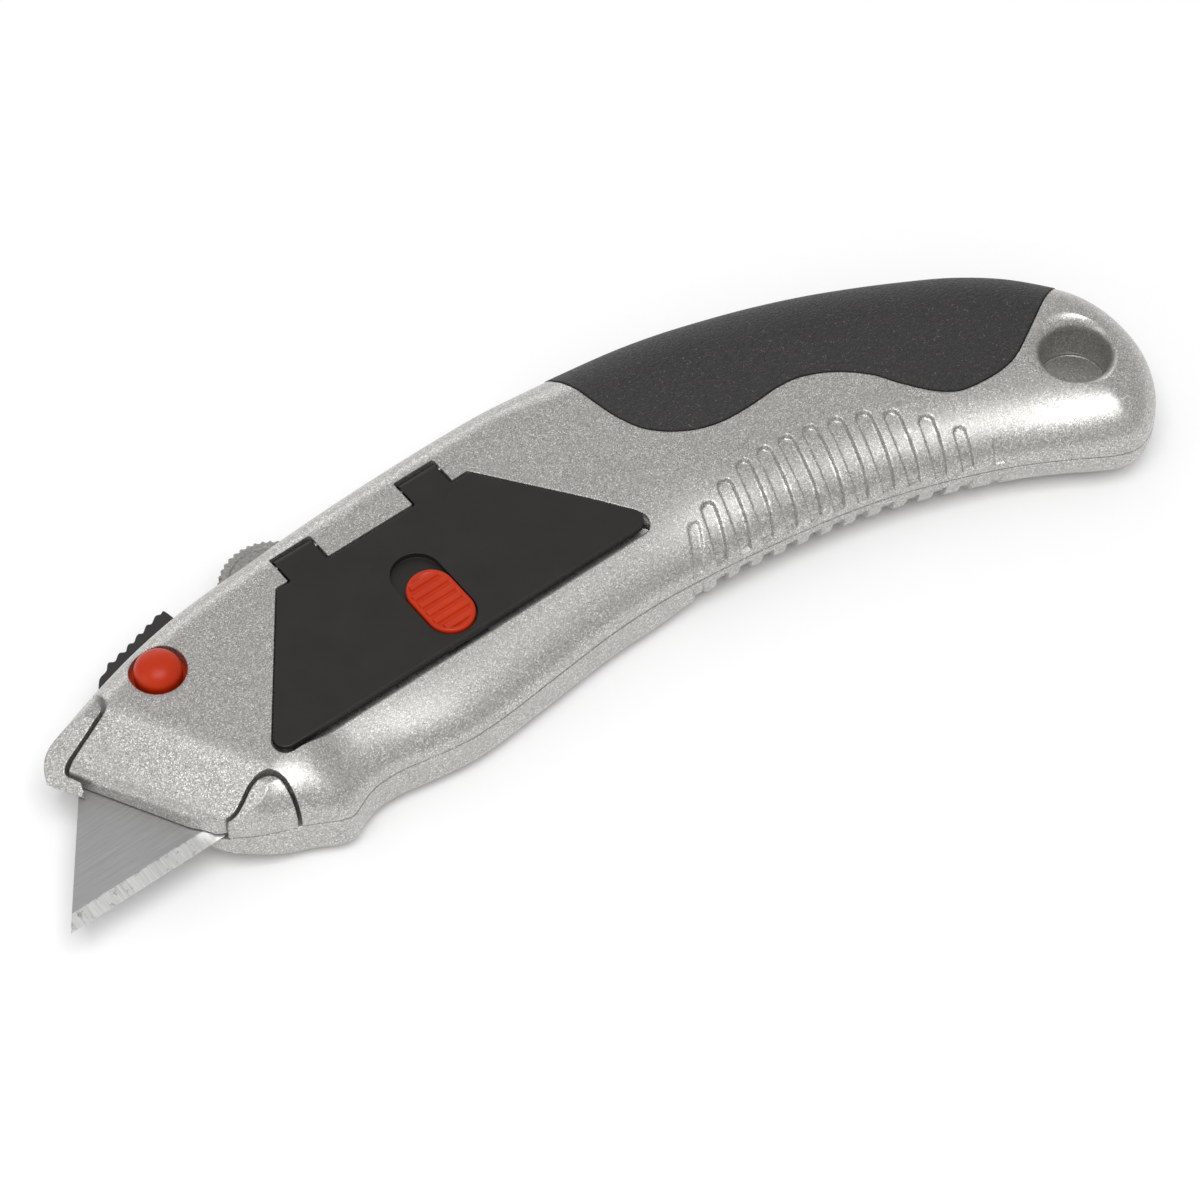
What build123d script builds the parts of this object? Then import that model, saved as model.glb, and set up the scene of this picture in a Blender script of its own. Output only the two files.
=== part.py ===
from build123d import *
import os
import math

os.makedirs("parts", exist_ok=True)

# Retractable utility knife with a side blade store.
# Drawing frame: X towards the tail, Y towards the spine, Z up through the thickness.
# z = 0 is the far face (the knife lies on it), z = 8 the parting plane, z = 16 the near face.
# Everything is drawn from the front corner of the store door and shifted at export so that
# the origin is the middle of the underside.

# ---------------------------------------------------------------- driving dimensions (mm)
CX, CY = 55.92, 4.75            # shift from drawing frame to row frame
T_TOTAL = 16.0                  # body thickness
Z_PART = 8.0                    # parting plane
BLADE_L, BLADE_W, BLADE_T = 62.0, 19.0, 0.63
BLADE_SLANT = 53.2              # end angle of a standard trapezoid blade
TIP_X, EDGE_Y = -32.8, 0.1      # blade tip and cutting edge, extended
BLADE_Z = 7.70                  # underside of the blade
TRAVEL = 26.5                   # slide travel
DOOR_L, DOOR_H = 70.0, 24.15    # door recess, bottom length and height
DOOR_T = 1.5
HINGE_Y, HINGE_Z = 27.68, 14.9
KNUCKLE_R, PIN_R = 1.1, 0.5
BTN_X, BTN_Y, BTN_R, BTN_HOLE_R = -2.1, 23.2, 3.35, 4.1
BTN_TOP = 18.1
BTN_TRAVEL = 1.4
WHEEL_X, WHEEL_Y, WHEEL_R, WHEEL_T = 20.25, 28.45, 7.55, 3.1
WHEEL_Z = 8.5
AXLE_R = 1.5
LATCH_X, LATCH_Y0, LATCH_Y1, LATCH_R = 35.2, 6.45, 10.95, 3.5
LATCH_TRAVEL = 3.3
LAN_X, LAN_Y, LAN_R = 133.8, -11.5, 5.0
SCREWS = [(61.5, 27.0), (88.0, 11.5), (117.0, 3.5)]
GRIP_T = 1.4
TAN = math.tan(math.radians(BLADE_SLANT))

# ---------------------------------------------------------------- body outline at the parting
OUT = [
    # nose, belly corner, finger guard
    (-9.3, 1.7), (-8.6, 0.4), (-7.2, -0.9), (-5.2, -2.2), (-3.0, -3.4), (-0.6, -4.4),
    (1.5, -5.2), (3.3, -6.1), (5.0, -7.1), (6.6, -7.8), (8.2, -7.9), (9.8, -7.2),
    (11.8, -6.4), (14.0, -6.0), (17.5, -6.15), (21.0, -6.8), (24.5, -7.4), (28.6, -7.85),
    # belly
    (33.8, -7.7), (39.2, -7.2), (47.4, -6.4), (53.0, -5.9), (58.4, -5.7), (64.8, -5.85),
    (71.9, -6.5), (79.1, -7.4), (86.2, -8.5), (93.1, -9.8), (99.7, -11.5), (106.0, -13.6),
    (112.2, -16.0), (118.1, -18.7), (123.5, -21.7), (127.5, -24.2),
    # tail
    (130.6, -25.9), (133.6, -26.5), (136.8, -25.4), (139.6, -23.1), (142.0, -19.8),
    (143.8, -15.7), (144.6, -11.0), (144.4, -6.2), (143.1, -1.8), (140.6, 2.2),
    # spine
    (136.2, 7.4), (130.4, 12.2), (124.1, 16.1), (117.5, 19.7), (110.7, 23.0), (103.6, 25.9),
    (96.3, 28.4), (88.7, 30.6), (80.9, 32.2), (72.4, 33.2), (63.4, 33.6), (54.8, 33.8),
    (46.1, 33.8), (37.2, 33.6), (28.4, 33.2), (20.0, 32.6), (12.0, 32.0), (5.5, 31.3),
    (-2.2, 29.8), (-9.3, 27.8), (-15.0, 25.9), (-18.4, 24.6),
    # nose, spine corner
    (-20.8, 23.4), (-22.2, 21.8), (-22.7, 19.8), (-22.2, 17.6), (-21.0, 15.6),
    # front edge
    (-19.0, 13.0), (-16.6, 10.4), (-14.0, 7.4), (-11.4, 4.3),
]


def catmull(points, n):
    out = []
    m = len(points)
    for i in range(m):
        p0, p1, p2, p3 = (points[(i + k - 1) % m] for k in range(4))
        for j in range(n):
            t = j / n
            out.append(tuple(
                0.5 * (2 * b + (c - a) * t + (2 * a - 5 * b + 4 * c - d) * t * t
                       + (3 * b - a - 3 * c + d) * t ** 3)
                for a, b, c, d in zip(p0, p1, p2, p3)))
    return out


def resample(points, step):
    m = len(points)
    acc = [0.0]
    for i in range(m):
        a, b = points[i], points[(i + 1) % m]
        acc.append(acc[-1] + math.dist(a, b))
    n = int(round(acc[-1] / step))
    res, k = [], 0
    for i in range(n):
        s = acc[-1] * i / n
        while acc[k + 1] < s:
            k += 1
        f = (s - acc[k]) / (acc[k + 1] - acc[k])
        a, b = points[k % m], points[(k + 1) % m]
        res.append((a[0] + f * (b[0] - a[0]), a[1] + f * (b[1] - a[1])))
    return res


RING = resample(catmull(OUT, 6), 6.0)
N = len(RING)


def smooth_normals(points, reach):
    m = len(points)
    nrm = []
    for i in range(m):
        a, b = points[(i - 1) % m], points[(i + 1) % m]
        dx, dy = b[0] - a[0], b[1] - a[1]
        d = math.hypot(dx, dy)
        nrm.append((-dy / d, dx / d))
    out = []
    for i in range(m):
        sx = sy = 0.0
        for k in range(-reach, reach + 1):
            w = math.exp(-(k / (reach * 0.5)) ** 2)
            q = nrm[(i + k) % m]
            sx += q[0] * w
            sy += q[1] * w
        d = math.hypot(sx, sy)
        out.append((sx / d, sy / d))
    return out


NRM = smooth_normals(RING, 2)

# inset of the outer surface from the outline at each level above the parting plane
LEVELS = [0.0, 2.4, 3.6, 4.6, 5.6, 6.6, 7.4, 8.0]
NEAR = {
    "nose": [0, 0, 0.3, 2.4, 4.3, 6.2, 7.7, 8.9],
    "belly": [0, 0, 0.6, 2.0, 4.2, 7.4, 9.8, 12.0],
    "belly_h": [0, 0.3, 1.0, 2.2, 4.0, 6.6, 9.0, 11.5],
    "tail": [0, 0.2, 0.6, 1.2, 2.0, 3.2, 4.8, 7.2],
    "spine_h": [0, 0.2, 0.6, 1.2, 2.1, 3.4, 5.0, 7.6],
    "spine": [0, 0, 0.1, 0.4, 0.9, 1.8, 3.0, 4.6],
}
FAR = {
    "nose": [0, 0, 0.3, 2.4, 4.3, 6.2, 7.7, 8.9],
    "belly": [0, 0, 0, 0.1, 0.5, 1.2, 2.2, 3.6],
    "belly_h": [0, 0.3, 0.8, 1.5, 2.6, 4.2, 6.0, 8.4],
    "tail": [0, 0.2, 0.6, 1.2, 2.0, 3.2, 4.8, 7.2],
    "spine_h": [0, 0.2, 0.6, 1.2, 2.1, 3.4, 5.0, 7.6],
    "spine": [0, 0, 0, 0.1, 0.5, 1.2, 2.2, 3.6],
}


def blend(a, b, f):
    f = min(1.0, max(0.0, f))
    f = f * f * (3 - 2 * f)
    return [p + (q - p) * f for p, q in zip(a, b)]


def insets(table, x, y):
    """Inset list at an outline point: which side it is on and how far along."""
    mid = 13.0 - max(0.0, x - 60.0) ** 2 * 0.0033
    if y < mid:
        if x < 5:
            return blend(table["nose"], table["belly"], (x + 8.5) / 9.0)
        if x < 85:
            return blend(table["belly"], table["belly_h"], (x - 60) / 22.0)
        return blend(table["belly_h"], table["tail"], (x - 122) / 12.0)
    if x < 0:
        return blend(table["nose"], table["spine"], (x + 21.5) / 11.0)
    if x < 85:
        return blend(table["spine"], table["spine_h"], (x - 58) / 22.0)
    return blend(table["spine_h"], table["tail"], (x - 125) / 12.0)


def ring_points(table, k, extra=0.0):
    pts = []
    for (x, y), (nx, ny) in zip(RING, NRM):
        d = insets(table, x, y)[k] + extra
        pts.append((x + nx * d, y + ny * d))
    return pts


def half_body(table, sign, extra=0.0, shrink=0.0):
    """Solid of one half: sign +1 above the parting plane, -1 below it."""
    wires = []
    for k, level in enumerate(LEVELS):
        z = Z_PART + sign * level * (8.0 - shrink) / 8.0
        pts = [Vector(x, y, z) for x, y in ring_points(table, k, extra)]
        wires.append(Wire([Edge.make_spline(pts, periodic=True)]))
    return Solid.make_loft(wires, ruled=True)


def prism(points, z0, z1):
    face = Face(Wire.make_polygon([Vector(x, y, z0) for x, y in points], close=True))
    return extrude(face, amount=z1 - z0, dir=(0, 0, 1))


def box(x0, x1, y0, y1, z0, z1):
    return Pos((x0 + x1) / 2, (y0 + y1) / 2, (z0 + z1) / 2) * Box(x1 - x0, y1 - y0, z1 - z0)


def cyl(x, y, r, z0, z1):
    return Pos(x, y, (z0 + z1) / 2) * Cylinder(r, z1 - z0)


def cyl_x(x0, x1, y, z, r):
    return Pos((x0 + x1) / 2, y, z) * Rot(0, 90, 0) * Cylinder(r, x1 - x0)


def obround(x, y0, y1, r, z0, z1):
    return (box(x - r, x + r, y0, y1, z0, z1) + cyl(x, y0, r, z0, z1)
            + cyl(x, y1, r, z0, z1))


def one(shape):
    """The largest solid of a result."""
    sol = sorted(shape.solids(), key=lambda s: s.volume)
    return sol[-1]


def nose_bar(profile):
    """Bar along the ridge of the nose. Profile points are (distance in front of the ridge, z)."""
    a, d = (-10.5, 21.9), (0.4827, -0.8758)
    u = (-0.8758, -0.4827)
    pts = [Vector(a[0] - 18 * d[0] + u[0] * q, a[1] - 18 * d[1] + u[1] * q, z) for q, z in profile]
    return extrude(Face(Wire.make_polygon(pts, close=True)), amount=60.0, dir=(d[0], d[1], 0))


def trapezoid(x0, y0, length, height):
    dx = height / TAN
    return [(x0, y0), (x0 + length, y0), (x0 + length - dx, y0 + height), (x0 + dx, y0 + height)]


# ---------------------------------------------------------------- half casings
near_outer = half_body(NEAR, +1)
far_outer = half_body(FAR, -1)
near_under = half_body(NEAR, +1, extra=GRIP_T, shrink=GRIP_T)
far_under = half_body(FAR, -1, extra=GRIP_T, shrink=GRIP_T)

# lugs of the far casing that come up round the nose corners (inner boundary, then outside)
LUG_A = [(-11.2, 32.0), (-11.3, 25.6), (-11.2, 23.9), (-11.8, 23.0), (-14.6, 21.9), (-17.3, 21.2),
         (-19.0, 20.8), (-19.9, 20.2), (-20.2, 19.4), (-19.75, 18.4), (-19.3, 17.5), (-19.6, 16.4),
         (-26.0, 12.5), (-30.0, 20.0), (-30.0, 32.0)]
LUG_B = [(-14.0, -3.0), (-8.2, -0.6), (-6.2, -0.9), (-4.4, -0.3), (-2.6, 0.5), (-0.9, 0.7),
         (0.5, 0.2), (1.2, -1.2), (1.0, -3.2), (0.3, -6.5), (-2.0, -12.0), (-14.0, -12.0)]
GAP_A = [(-10.4, 32.0), (-10.5, 25.6), (-10.4, 23.5), (-11.2, 22.3), (-14.4, 21.2), (-17.2, 20.5),
         (-19.2, 19.9), (-20.3, 19.3), (-20.8, 18.5), (-20.6, 17.4), (-20.2, 16.6), (-20.0, 16.0),
         (-26.0, 9.5), (-32.0, 20.0), (-32.0, 32.0)]
GAP_B = [(-16.0, 2.5), (-9.6, 1.6), (-7.6, -0.1), (-6.1, -0.25), (-4.6, 0.35), (-2.8, 1.15),
         (-0.9, 1.4), (1.0, 0.8), (1.9, -0.9), (1.7, -3.2), (1.0, -6.5), (-1.0, -14.0),
         (-16.0, -14.0)]
GRIP = [(72.0, 40.0), (71.6, 31.4), (72.2, 29.6), (72.7, 26.6), (73.3, 23.0), (74.0, 19.6),
        (75.0, 16.8), (75.9, 15.1), (77.4, 13.4), (79.2, 11.9), (82.1, 10.3), (85.8, 9.3),
        (90.6, 9.1), (95.4, 9.3), (99.6, 8.6), (104.0, 6.2), (107.6, 2.7), (109.6, -0.6),
        (111.8, -3.7), (114.0, -5.9), (116.8, -7.3), (122.0, -7.9), (125.9, -7.2),
        (130.2, -5.0), (134.1, -2.8), (137.8, -0.8), (150.0, 5.0), (150.0, 40.0)]

near_grip = one((near_outer - near_under) & prism(GRIP, 8.0, 17.0))
far_grip = one((far_outer - far_under) & prism(GRIP, -1.0, 8.0))

front_far = nose_bar([(5.44, -1.0), (14.08, 15.0), (50.0, 15.0), (50.0, -1.0)])
lug_a = (near_outer & prism(LUG_A, 7.9, 14.9)) - front_far
lug_b = near_outer & prism(LUG_B, 7.9, 14.9)

# hollow of the handle, shared by both halves
HANDLE = [(69.0, 2.0), (80.0, 1.0), (92.0, -1.5), (104.0, -5.2), (114.0, -9.6), (122.5, -14.2),
          (125.0, -13.6), (126.4, -8.0), (126.0, 5.0), (116.0, 11.6), (104.0, 17.6), (92.0, 22.0),
          (80.0, 25.2), (69.0, 26.6)]

# each casing is its outer form met with a block that holds every cut
cut = box(-60.0, 170.0, -60.0, 60.0, 8.0, 17.0) - prism(GAP_A, 7.0, 18.0) - prism(GAP_B, 7.0, 18.0)
cut = cut - nose_bar([(9.15, 7.0), (9.15, 20.0), (50.0, 20.0), (50.0, 7.0)])
# door recess, hinge pockets and the blade store under it
cut = cut - prism(trapezoid(1.5 / TAN, 1.5, DOOR_L - 3.0 / TAN, DOOR_H + 0.3 - 1.5), 14.45, 18.0)
TABS = [(20.5, 27.5), (41.9, 48.9)]
for x0, x1 in TABS:
    cut = cut - box(x0, x1, 23.0, 29.05, 13.4, 18.0)
cut = cut - prism(trapezoid(4.4, 1.35, 63.8, 19.6), 9.9, 15.0)
cut = cut - box(31.7, 38.7, -0.5, 2.0, 13.35, 14.15)
# wheel slot, axle seat
cut = cut - cyl(WHEEL_X, WHEEL_Y, WHEEL_R + 0.5, 7.9, 11.95)
cut = cut - box(WHEEL_X - 8.05, WHEEL_X + 8.05, WHEEL_Y, 50.0, 7.9, 11.95)
cut = cut - cyl(WHEEL_X, WHEEL_Y, AXLE_R, 11.0, 13.2)
# button bore
cut = cut - cyl(BTN_X, BTN_Y, 5.2, 7.9, 13.9) - cyl(BTN_X, BTN_Y, BTN_HOLE_R, 13.8, 18.0)
# slot for blade and sled, then the handle hollow
cut = cut - box(-40.0, 57.8, -0.6, 21.7, 7.9, 8.6)
handle_near = prism(HANDLE, 7.9, 12.8)
for sx, sy in SCREWS:
    handle_near = handle_near - cyl(sx, sy, 3.6, 7.0, 14.0)
cut = cut - handle_near
for sx, sy in SCREWS:
    cut = cut - cyl(sx, sy, 1.25, 7.9, 13.2)
# hinge pin seats
for x0, x1 in TABS:
    cut = cut - cyl_x(x0 - 1.5, x1 + 1.5, HINGE_Y, HINGE_Z, PIN_R)
cut = cut - cyl(LAN_X, LAN_Y, LAN_R, 7.0, 18.0)
cut = cut - Pos(LAN_X, LAN_Y, 15.25) * Cone(LAN_R, LAN_R + 1.5, 1.5)
near_shell = one((near_outer & cut) - near_grip)
near_grip = one(near_grip)

cut = box(-60.0, 170.0, -60.0, 60.0, -1.0, 8.0) - front_far
# sled channel, blade slot, slide channel through the spine wall
CHANNEL = [(2.0, -1.0), (58.0, -1.0), (58.0, 22.0), (-13.2, 22.0), (-13.2, 20.4)]
cut = cut - prism(CHANNEL, 1.9, 9.0)
cut = cut - box(-40.0, 2.0, -0.5, 19.8, 7.6, 9.0)
cut = cut - box(-8.8, 34.8, 21.0, 28.0, 1.9, 9.0) - box(-8.8, 34.8, 27.0, 55.0, 2.7, 9.0)
handle_far = prism(HANDLE, 3.2, 9.0)
for sx, sy in SCREWS:
    handle_far = handle_far - cyl(sx, sy, 3.9, 2.0, 9.5)
cut = cut - handle_far
for sx, sy in SCREWS:
    cut = cut - cyl(sx, sy, 1.6, -2.0, 10.0) - cyl(sx, sy, 3.0, -2.0, 2.6)
# notches that the detent spring clicks into: out, two middle positions, in
for k in range(4):
    cut = cut - cyl(10.0 + TRAVEL * k / 3.0, -1.3, 1.0, 3.2, 6.6)
cut = cut - cyl(LAN_X, LAN_Y, LAN_R, -2.0, 9.0)
cut = cut - Pos(LAN_X, LAN_Y, 0.75) * Cone(LAN_R + 1.5, LAN_R, 1.5)
slot = box(-40.0, 2.0, -0.5, 19.8, 7.6, 8.5)
far_shell = one((far_outer & cut) - far_grip + (lug_a - slot) + (lug_b - slot))
for sx, sy in SCREWS[1:]:
    far_grip = far_grip - cyl(sx, sy, 3.0, -2.0, 4.0)
far_grip = one(far_grip)

# ---------------------------------------------------------------- blades
def blade_solid(x0, y0, z0):
    """Trapezoid blade with two notches on the back edge, a middle hole and a ground edge."""
    b = prism(trapezoid(x0, y0, BLADE_L, BLADE_W), z0, z0 + BLADE_T)
    xc = x0 + BLADE_L / 2
    for dx in (-3.3, 3.3):
        b = b - cyl(xc + dx, y0 + BLADE_W - 1.2, 1.2, z0 - 1, z0 + 2)
        b = b - box(xc + dx - 1.2, xc + dx + 1.2, y0 + BLADE_W - 1.2, y0 + BLADE_W + 1, z0 - 1, z0 + 2)
    b = b - cyl(xc, y0 + BLADE_W * 0.42, 1.6, z0 - 1, z0 + 2)
    for s, zf in ((1, z0 + BLADE_T), (-1, z0)):
        # ground bevel, 2.2 mm wide on each side
        w = Wire.make_polygon([Vector(x0 - 1, y0 - 0.01, zf - s * (BLADE_T / 2 - 0.03)),
                               Vector(x0 - 1, y0 + 2.2, zf + s * 0.0),
                               Vector(x0 - 1, y0 + 2.2, zf + s * 1.0),
                               Vector(x0 - 1, y0 - 0.01, zf + s * 1.0)], close=True)
        b = b - extrude(Face(w), amount=BLADE_L + 2, dir=(1, 0, 0))
    return one(b)


blade = blade_solid(TIP_X, EDGE_Y, BLADE_Z)
spare_blades = Compound([blade_solid(5.3, 1.6, 9.92 + 0.64 * i) for i in range(5)])

# ---------------------------------------------------------------- sled (blade carriage)
FR = 0.705                       # run of the sled's front edge per mm of height
sled = prism([(2.9, 1.4), (30.5, 1.4), (30.5, 21.2), (7.2, 21.2), (7.2, 27.3), (-7.4, 27.3),
              (-7.4, 21.2), (2.9 - FR * 19.8, 21.2)], 2.3, 7.66)
# shoulder behind the blade and rail along its back edge
XR = TIP_X + BLADE_L
sled = sled + prism([(XR - 1.3 / TAN + 0.25, 1.4), (30.5, 1.4), (30.5, 21.2),
                     (XR - 21.1 / TAN + 0.25, 21.2)], 7.6, 8.3)
sled = sled + box(6.0, 14.2, 19.3, 21.2, 7.6, 8.3)
# pocket for the catch and its spring, relief for the detent spring, lightening pockets
sled = sled - box(-5.0, 3.6, 16.2, 26.0, 3.2, 9.0)
sled = sled - box(7.0, 26.0, 1.0, 3.1, 3.2, 6.7)
sled = sled - box(9.0, 19.0, 5.5, 17.0, 2.0, 6.4) - box(21.5, 28.0, 5.5, 17.0, 2.0, 6.4)
# tongue that the thumb slide is riveted to
sled = sled + box(-6.4, 6.2, 27.2, 29.4, 4.5, 6.4)
for x in (-4.5, 4.5):
    sled = sled - cyl(x, 28.4, 0.6, 4.0, 7.0)
blade_carriage = one(sled)

# thumb slide: saw-toothed wedge
TEETH = [(-7.62, 27.6), (-7.62, 30.75), (-7.0, 31.55), (-6.4, 32.05), (-5.21, 32.42), (-4.5, 33.18),
         (-4.08, 33.4), (-3.34, 33.03), (-2.45, 33.64), (-1.96, 33.81), (-1.24, 33.47),
         (-0.52, 34.11), (-0.02, 34.26), (0.53, 34.06), (1.39, 34.70), (1.92, 34.84), (2.45, 34.60),
         (3.34, 35.27), (3.76, 35.38), (4.30, 35.17), (5.28, 35.84), (5.74, 35.90), (6.2, 35.72),
         (6.9, 35.90), (7.3, 34.2), (7.4, 27.6)]
slide = prism(TEETH, 3.0, 7.9)
slide = slide - box(-6.6, 6.4, 27.0, 29.5, 4.42, 6.48)
for x in (-4.5, 4.5):
    slide = slide - cyl(x, 28.4, 0.6, 2.0, 9.0)
thumb_slider = one(slide)
slider_rivets = Compound([one(cyl(x, 28.4, 0.6, 3.05, 7.85)) for x in (-4.5, 4.5)])

# detent leaf spring on the sled's belly side
def strip(points, t, z0, z1):
    """Bent strip of thickness t along a line in the XY plane."""
    left, right = [], []
    n = len(points)
    for i, (x, y) in enumerate(points):
        a = points[max(0, i - 1)]
        b = points[min(n - 1, i + 1)]
        dx, dy = b[0] - a[0], b[1] - a[1]
        d = math.hypot(dx, dy)
        left.append((x - dy / d * t / 2, y + dx / d * t / 2))
        right.append((x + dy / d * t / 2, y - dx / d * t / 2))
    return one(prism(left + right[::-1], z0, z1))


detent_spring = strip([(25.9, 2.75), (22.5, 2.6), (18.0, 1.9), (13.0, 0.9), (11.2, 0.2), (10.0, -0.65),
                       (8.9, 0.1), (8.0, 0.7)], 0.3, 3.4, 6.5)

# ---------------------------------------------------------------- blade catch under the button
catch = prism([(-4.6, 25.5), (-4.6, 21.0), (-0.6, 16.6), (3.1, 16.6), (3.1, 20.6), (0.6, 25.5)], 5.2, 6.4)
catch = catch + cyl(BTN_X, BTN_Y, 1.9, 6.3, 7.6)
catch = catch + cyl(TIP_X + BLADE_L / 2 + 3.3, EDGE_Y + BLADE_W - 1.2, 1.0, 6.3, 8.3)
blade_catch = one(catch)
# leaf spring under the catch, bent in the XZ plane
leaf = Face(Wire.make_polygon([Vector(-4.3, 18.5, 3.22), Vector(2.7, 18.5, 3.22), Vector(2.9, 18.5, 5.18),
                               Vector(1.2, 18.5, 5.18), Vector(0.6, 18.5, 3.6), Vector(-4.3, 18.5, 3.6)],
                              close=True))
catch_spring = one(extrude(leaf, amount=4.0, dir=(0, 1, 0)))

# ---------------------------------------------------------------- release button
DOME_R = (BTN_R ** 2 + (BTN_TOP - 16.45) ** 2) / (2 * (BTN_TOP - 16.45))
dome = cyl(0, 0, BTN_R, 16.45, BTN_TOP + 0.5) & Pos(0, 0, BTN_TOP - DOME_R) * Sphere(DOME_R)
btn = cyl(0, 0, 1.8, 7.8, 13.2) + cyl(0, 0, 4.9, 13.0, 13.85) + cyl(0, 0, BTN_R, 13.5, 16.45) + dome
release_button = Pos(BTN_X, BTN_Y, 0) * one(btn)
button_retainer = one(cyl(BTN_X, BTN_Y, 5.2, 9.3, 10.0) - cyl(BTN_X, BTN_Y, 2.1, 9.0, 11.0))
coil = Helix(pitch=0.82, height=2.46, radius=3.2)
coil_path = Pos(BTN_X, BTN_Y, 10.26) * coil
prof = Plane(coil_path @ 0, z_dir=coil_path % 0) * Circle(0.24)
button_spring = one(sweep(prof, path=coil_path))

# ---------------------------------------------------------------- store door and latch
def rounded_door():
    pts = trapezoid(1.9 / TAN + 0.35, 1.9, DOOR_L - 3.8 / TAN - 0.7, DOOR_H - 1.9)
    d = one(prism(pts, 16.0 - DOOR_T, 16.0))
    low = [e for e in d.edges() if abs(e.bounding_box().size.Z - DOOR_T) < 1e-3 and e.center().Y < 3]
    d = fillet(low, 1.8)
    return d


door = rounded_door()
for x0, x1 in TABS:
    door = door + prism([(x0 + 0.35, 23.5), (x1 - 0.35, 23.5), (x1 - 0.35, HINGE_Y), (x0 + 0.35, HINGE_Y)],
                        14.5, 16.0)
    door = door + cyl_x(x0 + 0.35, x1 - 0.35, HINGE_Y, HINGE_Z, KNUCKLE_R)
for x0, x1 in TABS:
    door = door - cyl_x(x0 - 2, x1 + 2, HINGE_Y, HINGE_Z, PIN_R + 0.05)
door = door - obround(LATCH_X, LATCH_Y0 - 0.05, LATCH_Y1 + LATCH_TRAVEL + 0.05, LATCH_R + 0.2, 15.0, 17.0)
door = door - box(33.3, 37.1, 5.1, 15.9, 14.0, 15.5)
storage_door = one(door)
hinge_pins = Compound([one(cyl_x(x0 - 1.5, x1 + 1.5, HINGE_Y, HINGE_Z, PIN_R)) for x0, x1 in TABS])

knob = obround(LATCH_X, LATCH_Y0, LATCH_Y1, LATCH_R, 15.05, 16.6)
knob = knob + box(33.6, 36.8, 5.4, 12.0, 14.0, 15.3)
for i in range(7):
    yy = 4.6 + i * 1.37
    knob = knob - box(LATCH_X - 2.6, LATCH_X + 2.6, yy, yy + 0.6, 16.2, 17.0)
door_latch = one(knob)
latch_bolt = one(box(32.0, 38.4, 0.0, 13.4, 13.5, 14.0))

clip_profile = Face(Wire.make_polygon([
    Vector(44.0, 8.0, 14.48), Vector(44.0, 8.0, 14.2), Vector(47.5, 8.0, 14.2), Vector(53.0, 8.0, 13.35),
    Vector(56.0, 8.0, 13.6), Vector(56.0, 8.0, 13.88), Vector(53.0, 8.0, 13.63), Vector(47.6, 8.0, 14.48)],
    close=True))
spare_blade_clip = one(extrude(clip_profile, amount=6.0, dir=(0, 1, 0)))

# ---------------------------------------------------------------- thumbwheel
TEETH_N = 42
wheel_pts = []
for i in range(TEETH_N):
    for f, r in ((0.0, WHEEL_R - 0.5), (0.3, WHEEL_R - 0.08), (0.5, WHEEL_R), (0.7, WHEEL_R - 0.08)):
        a = 2 * math.pi * (i + f) / TEETH_N
        wheel_pts.append((WHEEL_X + r * math.cos(a), WHEEL_Y + r * math.sin(a)))
wheel = prism(wheel_pts, WHEEL_Z, WHEEL_Z + WHEEL_T) - cyl(WHEEL_X, WHEEL_Y, AXLE_R + 0.05, 7.0, 13.0)
lock_wheel = one(wheel)
wheel_axle = one(cyl(WHEEL_X, WHEEL_Y, AXLE_R, 8.15, 13.15))
wheel_clip = one(cyl(WHEEL_X, WHEEL_Y, 2.6, 8.2, 8.45) - cyl(WHEEL_X, WHEEL_Y, AXLE_R, 8.0, 9.0)
                 - box(WHEEL_X - 0.6, WHEEL_X + 0.6, WHEEL_Y - 3.0, WHEEL_Y, 8.0, 9.0))

# ---------------------------------------------------------------- case screws
screws = []
for sx, sy in SCREWS:
    s = cyl(sx, sy, 2.8, 0.9, 2.6) + cyl(sx, sy, 1.25, 2.5, 13.0)
    s = s - box(sx - 2.0, sx + 2.0, sy - 0.3, sy + 0.3, 0.0, 1.7) - box(sx - 0.3, sx + 0.3, sy - 2.0, sy + 2.0, 0.0, 1.7)
    screws.append(one(s))
case_screws = Compound(screws)

PARTS = {
    "near_shell": near_shell, "far_shell": far_shell, "near_grip": near_grip, "far_grip": far_grip,
    "blade": blade, "spare_blades": spare_blades, "blade_carriage": blade_carriage,
    "thumb_slider": thumb_slider, "slider_rivets": slider_rivets, "detent_spring": detent_spring,
    "blade_catch": blade_catch, "catch_spring": catch_spring, "release_button": release_button,
    "button_retainer": button_retainer, "button_spring": button_spring,
    "storage_door": storage_door, "hinge_pins": hinge_pins, "door_latch": door_latch,
    "latch_bolt": latch_bolt, "spare_blade_clip": spare_blade_clip, "lock_wheel": lock_wheel,
    "wheel_axle": wheel_axle, "wheel_clip": wheel_clip, "case_screws": case_screws,
}

low = [1e9] * 3
high = [-1e9] * 3
for name, shape in PARTS.items():
    moved = shape.moved(Location((-CX, -CY, 0)))
    bb = moved.bounding_box()
    for i, (a, b) in enumerate(zip((bb.min.X, bb.min.Y, bb.min.Z), (bb.max.X, bb.max.Y, bb.max.Z))):
        low[i] = min(low[i], a)
        high[i] = max(high[i], b)
    export_step(moved, "parts/" + name + ".step")
print("box", [round(v, 3) for v in low], [round(v, 3) for v in high])
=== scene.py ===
import math

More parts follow.
